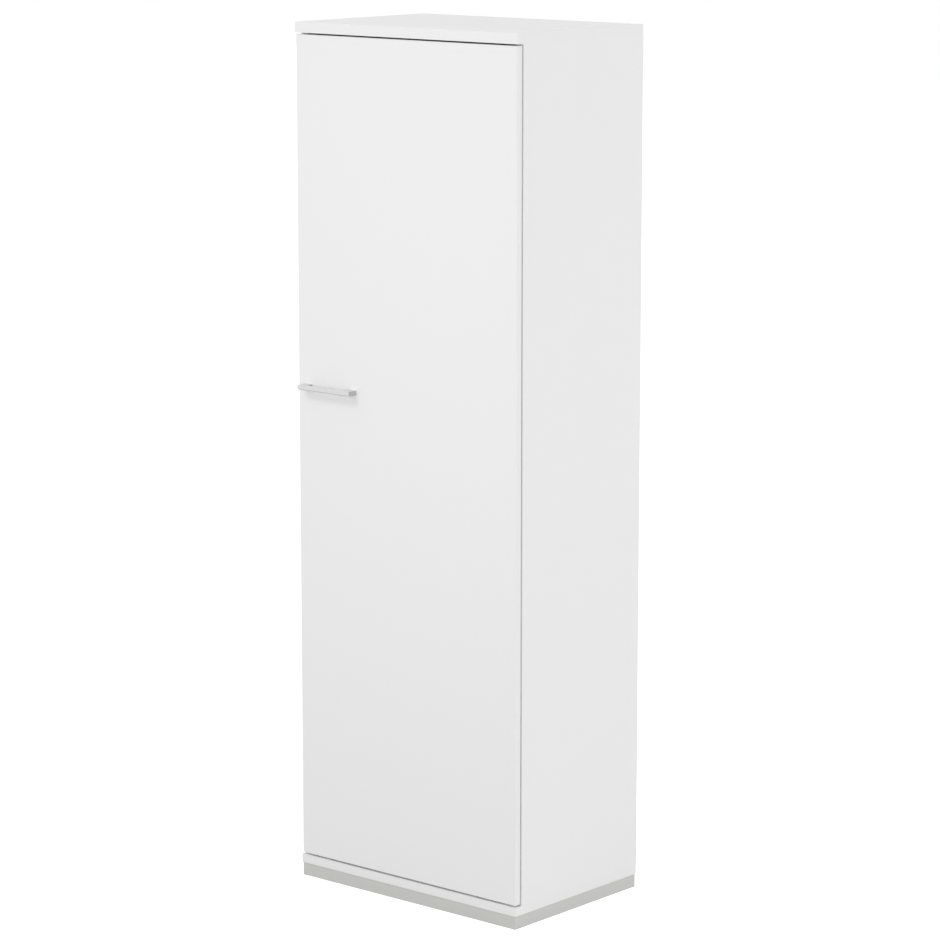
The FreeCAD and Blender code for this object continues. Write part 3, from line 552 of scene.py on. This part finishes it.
def threaded_shank(tree, radius, length, pitch):
    """A core with a spiral ridge, below the origin."""
    core = cylinder(tree, calc(tree, "MULTIPLY", radius, CORE_SHARE), length, CORE_SIDES)
    core = moved(tree, core, calc(tree, "MULTIPLY", length, -0.5))
    reach = calc(tree, "MULTIPLY", radius, 1 - RIDGE_SHARE)
    turns = calc(tree, "SUBTRACT", calc(tree, "DIVIDE", length, pitch), 1.0)
    height = calc(tree, "MULTIPLY", turns, pitch)
    path = {"Resolution": STEPS_IN_TURN, "Rotations": turns, "Height": height,
            "Start Radius": reach, "End Radius": reach}
    spiral = add(tree, "GeometryNodeCurveSpiral", path).outputs[0]
    profile = {"Resolution": RIDGE_SIDES, "Radius": calc(tree, "MULTIPLY", radius, RIDGE_SHARE)}
    ridge = add(tree, "GeometryNodeCurvePrimitiveCircle", profile).outputs[0]
    swept = {"Curve": spiral, "Profile Curve": ridge, "Fill Caps": True}
    thread = add(tree, "GeometryNodeCurveToMesh", swept).outputs[0]
    drop = calc(tree, "MULTIPLY", calc(tree, "ADD", height, calc(tree, "MULTIPLY", pitch, 0.5)), -1.0)
    return core, moved(tree, thread, drop)


print("thread depth as a share of the radius:", round(1 - CORE_SHARE, 2))

# %% [markdown]
# Each screw of the CAD model gives one point with the way its head faces. The tree puts a copy there, stands
# it up along that direction and turns it at random, as a fitter leaves it. A quarter turn is enough, because
# a cross then looks the same again. Realize Instances makes one plain mesh of all the copies.

# %% Copies on the points
SOFT_ANGLE = radians(30)
QUARTER_TURN = pi / 2
UPWARD = (0, 0, 1)


def finish_tree(tree, given, shapes):
    """Joins the shapes, copies them to the points and gives them their finish."""
    whole = add(tree, "GeometryNodeJoinGeometry", {0: shapes}).outputs[0]
    angle = add(tree, "GeometryNodeInputMeshEdgeAngle").outputs["Unsigned Angle"]
    soft = calc(tree, "LESS_THAN", angle, SOFT_ANGLE)
    shading = {"Geometry": whole, "Shade Smooth": soft}
    smooth = add(tree, "GeometryNodeSetShadeSmooth", shading, domain="EDGE").outputs[0]
    aim = add(tree, "GeometryNodeInputNamedAttribute", {"Name": "aim"}, data_type="FLOAT_VECTOR").outputs[0]
    upright = add(tree, "FunctionNodeAlignRotationToVector", {"Vector": aim}, axis="Z").outputs[0]
    # A Random Value node takes its numbers at 2 and 3 and its seed at 8, and gives a number at 1.
    turn = add(tree, "FunctionNodeRandomValue", {2: 0.0, 3: QUARTER_TURN, 8: given["Turn Seed"]}).outputs[1]
    spin = add(tree, "FunctionNodeAxisAngleToRotation", {"Axis": UPWARD, "Angle": turn}).outputs[0]
    rotations = {0: upright, 1: spin}
    facing = add(tree, "FunctionNodeRotateRotation", rotations, rotation_space="LOCAL").outputs[0]
    copies = {"Points": given["Geometry"], "Instance": smooth, "Rotation": facing}
    placed = add(tree, "GeometryNodeInstanceOnPoints", copies).outputs[0]
    real = add(tree, "GeometryNodeRealizeInstances", {0: placed}).outputs[0]
    dressed = add(tree, "GeometryNodeSetMaterial", {"Geometry": real, "Material": given["Finish"]})
    add(tree, "NodeGroupOutput", {0: dressed.outputs[0]})
    print(tree.name, "has", len(tree.nodes), "nodes")


print("edges under", round(degrees(SOFT_ANGLE)), "degrees are smoothed")

# %% [markdown]
# The head is a shallow dome with an upright rim, and the driver fits a cross in it. A ball crossed with a
# drum gives the dome, and two crossed bars are cut out of it. A dome of height c over a circle of radius r
# comes from a ball of radius c / 2 + r * r / (2 * c), which the tree works out for every size.

# %% Screw head
DOME_SHARE = 0.45
DOME_RINGS = 56
BAR_LENGTH_SHARE = 1.25
BAR_DEPTH_SHARE = 1.3


def screw_head(tree, radius, height, recess):
    """A domed head with a cross recess, above the origin."""
    crown = calc(tree, "MULTIPLY", height, DOME_SHARE)
    square = calc(tree, "MULTIPLY", radius, radius)
    rest = calc(tree, "DIVIDE", square, calc(tree, "ADD", crown, crown))
    ball = calc(tree, "MULTIPLY_ADD", crown, 0.5, rest)
    sizes = {"Segments": ROUND_SIDES, "Rings": DOME_RINGS, "Radius": ball}
    dome = add(tree, "GeometryNodeMeshUVSphere", sizes).outputs["Mesh"]
    dome = moved(tree, dome, calc(tree, "SUBTRACT", height, ball))
    drum = moved(tree, cylinder(tree, radius, height), calc(tree, "MULTIPLY", height, 0.5))
    long = calc(tree, "MULTIPLY", radius, BAR_LENGTH_SHARE)
    deep = calc(tree, "MULTIPLY", height, BAR_DEPTH_SHARE)
    bars = []
    for x, y in ((recess, long), (long, recess)):
        size = add(tree, "ShaderNodeCombineXYZ", {"X": x, "Y": y, "Z": deep}).outputs[0]
        bars.append(moved(tree, add(tree, "GeometryNodeMeshCube", {"Size": size}).outputs["Mesh"], height))
    return cut(tree, "DIFFERENCE", cut(tree, "INTERSECT", dome, drum), *bars)


print("dome as a share of the head's height:", DOME_SHARE)

# %% The screw tree


def screw_tree():
    """Cross-head screw: the head above the origin and the threaded shank below it."""
    sizes = ("Head Radius", "Head Height", "Shank Radius", "Shank Length", "Thread Pitch", "Recess Width")
    tree, given = new_tree("cross_head_screw", sizes)
    head = screw_head(tree, given["Head Radius"], given["Head Height"], given["Recess Width"])
    shank = threaded_shank(tree, given["Shank Radius"], given["Shank Length"], given["Thread Pitch"])
    finish_tree(tree, given, [head, *shank])
    return tree


SCREW_TREE = screw_tree()

# %% [markdown]
# To use the tree, we make a mesh that has only points, store each head's direction on it, and set the
# modifier's inputs by their identifiers before Blender first evaluates it. The result is then turned into a
# plain mesh, which rides on its body and stands for the CAD screws.

# %% From points to a mesh


def new_object(name, data):
    """An object in the scene."""
    made = bpy.data.objects.new(name, data)
    bpy.context.scene.collection.objects.link(made)
    return made


def grow(name, tree, points, aim, sizes, seed):
    """A plain mesh object that a tree makes at points."""
    mesh = bpy.data.meshes.new(name + "_points")
    mesh.from_pydata(points, [], [])
    arrow = mesh.attributes.new("aim", "FLOAT_VECTOR", "POINT")
    arrow.data.foreach_set("vector", list(aim) * len(points))
    seeds = new_object(name + "_points", mesh)
    modifier = seeds.modifiers.new("tree", "NODES")
    modifier.node_group = tree
    values = {**sizes, "Turn Seed": seed, "Finish": SCREW_ZINC}
    for item in tree.interface.items_tree:
        if item.in_out == "INPUT" and item.name in values:
            modifier[item.identifier] = values[item.name]
    solid = seeds.evaluated_get(bpy.context.evaluated_depsgraph_get())
    piece = new_object(name, bpy.data.meshes.new_from_object(solid))
    seeds.modifiers.remove(modifier)
    bpy.data.objects.remove(seeds)
    return piece


def hand_over(piece, body, node):
    """Lets a made piece ride on a body and stand for a CAD node."""
    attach(piece, body)
    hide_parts(node)
    print(piece.name, len(piece.data.polygons), "faces")


print("trees to grow from:", [tree.name for tree in bpy.data.node_groups])

# %% One set of screws
RECESS_SHARE = 0.16
MICRON_DIGITS = 6
WOOD_SCREW = {"head": 1.8 * MM, "shank": 1.75 * MM, "pitch": 1.6 * MM}
ARM_SCREW = {"head": 2.0 * MM, "shank": 2.0 * MM, "pitch": 0.9 * MM}
HANDLE_SCREW = {"head": 2.4 * MM, "shank": 2.0 * MM, "pitch": 0.8 * MM}


def cross_head_screws(node, body, aim, seed, head, shank, pitch):
    """Cross-head screws in place of a CAD node's studs; the aim is the way their heads face."""
    axis = max(range(3), key=lambda i: abs(aim[i]))
    solids = solids_of(node)
    feet = []
    for low, high in solids:
        foot = (low + high) / 2
        foot[axis] = high[axis] - head if aim[axis] > 0 else low[axis] + head
        feet.append(foot)
    low, high = solids[0]
    length = round(high[axis] - low[axis] - head, MICRON_DIGITS)
    width = round(high[axis - 1] - low[axis - 1], MICRON_DIGITS)
    sizes = {"Head Radius": width / 2, "Head Height": head, "Recess Width": RECESS_SHARE * width,
             "Shank Radius": shank, "Shank Length": length, "Thread Pitch": pitch}
    hand_over(grow("cross_head_" + node, SCREW_TREE, feet, aim, sizes, seed), body, node)


print("turns in a centimetre of wood screw:", round(10 * MM / WOOD_SCREW["pitch"], 2))

# %% Make the screws
REARWARD, LEFTWARD, DOWNWARD = (0, 1, 0), (-1, 0, 0), (0, 0, -1)
SCREWS = (
    ("cup_screws", "door", REARWARD, WOOD_SCREW),
    ("handle_screws", "door", REARWARD, HANDLE_SCREW),
    ("plate_screws", "carcass", LEFTWARD, WOOD_SCREW),
    ("arm_screws", "carcass", LEFTWARD, ARM_SCREW),
    ("rail_screws", "carcass", DOWNWARD, WOOD_SCREW),
)
for seed, (node, body, aim, kind) in enumerate(SCREWS, start=1):
    cross_head_screws(node, body, aim, seed, **kind)

# %% [markdown]
# The levelling feet hang on long machine screws with a hexagon socket in the top, which a key reaches
# through the bottom board. They share the thread of the small screws, so their tree only adds the socket.

# %% The levelling tree
KEY_SIDES = 6


def levelling_tree():
    """Threaded rod below the origin, with a key socket in its end."""
    sizes = ("Rod Radius", "Rod Length", "Thread Pitch", "Key Radius", "Key Depth")
    tree, given = new_tree("levelling_screw", sizes)
    core, thread = threaded_shank(tree, given["Rod Radius"], given["Rod Length"], given["Thread Pitch"])
    key = cylinder(tree, given["Key Radius"], calc(tree, "MULTIPLY", given["Key Depth"], 2.0), KEY_SIDES)
    finish_tree(tree, given, [cut(tree, "DIFFERENCE", core, key), thread])
    return tree


LEVELLING_TREE = levelling_tree()

# %% Make the levelling screws
LEVELLING_SCREW = {"Thread Pitch": 1.25 * MM, "Key Radius": 2.3 * MM, "Key Depth": 5.0 * MM}
for seed, corner in enumerate(CORNERS):
    node = "leveller_screw_" + corner
    low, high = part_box(node)
    top = ((low.x + high.x) / 2, (low.y + high.y) / 2, high.z)
    sizes = {"Rod Radius": (high.x - low.x) / 2, "Rod Length": high.z - low.z, **LEVELLING_SCREW}
    rod = grow("threaded_" + node, LEVELLING_TREE, [top], UPWARD, sizes, seed)
    hand_over(rod, "leveller_" + corner, node)

# %% [markdown]
# The stage is a plain pale floor under a white room. The picture's background is white, so the room and
# the floor show white to the camera and in reflections, while the light that they really give stays at a
# plain level. The floor keeps a soft shadow, because only part of its brightness is added for the camera.

# %% Light that is seen directly
FULL_WHITE = (1.0, 1.0, 1.0, 1.0)


def seen_directly(tree):
    """1 for rays from the camera, a mirror or clear material, and 0 for light that falls on things."""
    path = add(tree, "ShaderNodeLightPath").outputs
    mirror = calc(tree, "MAXIMUM", path["Is Glossy Ray"], path["Is Transmission Ray"])
    return calc(tree, "MAXIMUM", path["Is Camera Ray"], mirror)


bpy.context.scene.view_settings.view_transform = "Standard"
print("view transform:", bpy.context.scene.view_settings.view_transform)

# %% Floor
FLOOR_HALF = 20.0
FLOOR_GREY = 0.60
FLOOR_ROUGH = 0.9
FLOOR_GLOW = 0.72


def make_floor():
    """A wide floor that looks white but still takes the cabinet's shadow."""
    mesh = bpy.data.meshes.new("floor")
    corners = [(x * FLOOR_HALF, y * FLOOR_HALF, 0) for x, y in ((-1, -1), (1, -1), (1, 1), (-1, 1))]
    mesh.from_pydata(corners, [], [(0, 1, 2, 3)])
    material, tree, shader, _ = new_finish("floor_white")
    shader.inputs["Base Color"].default_value = opaque((FLOOR_GREY,) * 3)
    shader.inputs["Roughness"].default_value = FLOOR_ROUGH
    shader.inputs["Emission Color"].default_value = FULL_WHITE
    glow = calc(tree, "MULTIPLY", seen_directly(tree), FLOOR_GLOW)
    tree.links.new(glow, shader.inputs["Emission Strength"])
    mesh.materials.append(material)
    floor = new_object("floor", mesh)
    floor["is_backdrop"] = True


make_floor()
print("floor width in metres:", 2 * FLOOR_HALF)

# %% Room
ROOM_LEVEL = 0.751


def make_room():
    """A white surround that lights the cabinet at the room level."""
    world = bpy.data.worlds.new("white_room")
    bpy.context.scene.world = world
    world.use_nodes = True
    tree = world.node_tree
    backdrop = next(node for node in tree.nodes if node.type == "BACKGROUND")
    backdrop.inputs["Color"].default_value = FULL_WHITE
    tree.links.new(spread(tree, seen_directly(tree), ROOM_LEVEL, 1.0), backdrop.inputs["Strength"])


make_room()
print("room level:", ROOM_LEVEL)

# %% [markdown]
# White boards under white light lose their shape, so the lamps have to give each face its own tone. The one
# high on the left makes the door a little brighter at the top and lays the soft shadow under the handle, the
# one at door height evens it out, and the one at the right lifts the side. Their powers were worked out so
# that the three visible faces get the picture's tones. Two more lamps at the left and the rear do the same
# for the faces that the picture doesn't show.

# %% Lamps


def make_lamp(name, place, target, width, power):
    """A large soft lamp that faces a point."""
    data = bpy.data.lights.new(name, "AREA")
    data.shape = "DISK"
    data.size = width
    data.energy = power
    lamp = new_object(name, data)
    lamp.location = place
    lamp.rotation_euler = (Vector(target) - Vector(place)).to_track_quat("-Z", "Y").to_euler()
    print(name, power, "W")


make_lamp("high_lamp", place=(-0.9, -3.4, 4.2), target=(0.0, -0.2, 1.0), width=1.2, power=30)
make_lamp("front_lamp", place=(0.2, -2.2, 1.45), target=(0.0, -0.2, 1.4), width=1.2, power=8.1)
make_lamp("right_lamp", place=(4.6, 0.3, 1.5), target=(0.3, 0.0, 1.0), width=3.0, power=46.5)
make_lamp("left_lamp", place=(-4.6, 0.9, 1.5), target=(-0.3, 0.0, 1.0), width=3.0, power=16)
make_lamp("rear_lamp", place=(0.0, 4.8, 1.6), target=(0.0, 0.2, 1.0), width=3.0, power=32)

# %% [markdown]
# The camera stands to the front right, a little above the top, with a long lens, as for a catalogue
# picture. Its place and turn were worked out from the corners of the cabinet in the picture.

# %% Camera
CAMERA_PLACE = (4.7857, -5.5432, 2.2541)
CAMERA_TURN = 40.715
CAMERA_TILT = 10.497
CAMERA_LENS = 135.98
SENSOR_WIDTH = 36.0
VIEW_REACH = 100.0
camera_data = bpy.data.cameras.new("camera")
camera_data.lens = CAMERA_LENS
camera_data.sensor_width = SENSOR_WIDTH
camera_data.clip_end = VIEW_REACH
camera = new_object("camera", camera_data)
camera.location = CAMERA_PLACE
camera.rotation_euler = (radians(90 - CAMERA_TILT), 0.0, radians(CAMERA_TURN))
bpy.context.scene.camera = camera
print("camera at", CAMERA_PLACE)

# %% [markdown]
# Last, we measure the dressed cabinet's box. It should be the same as the CAD box, because no piece here
# reaches outside the boards and the handle.

# %% Measure and finish
low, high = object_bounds()
print("visual size in metres:", [round(v, 4) for v in high - low])
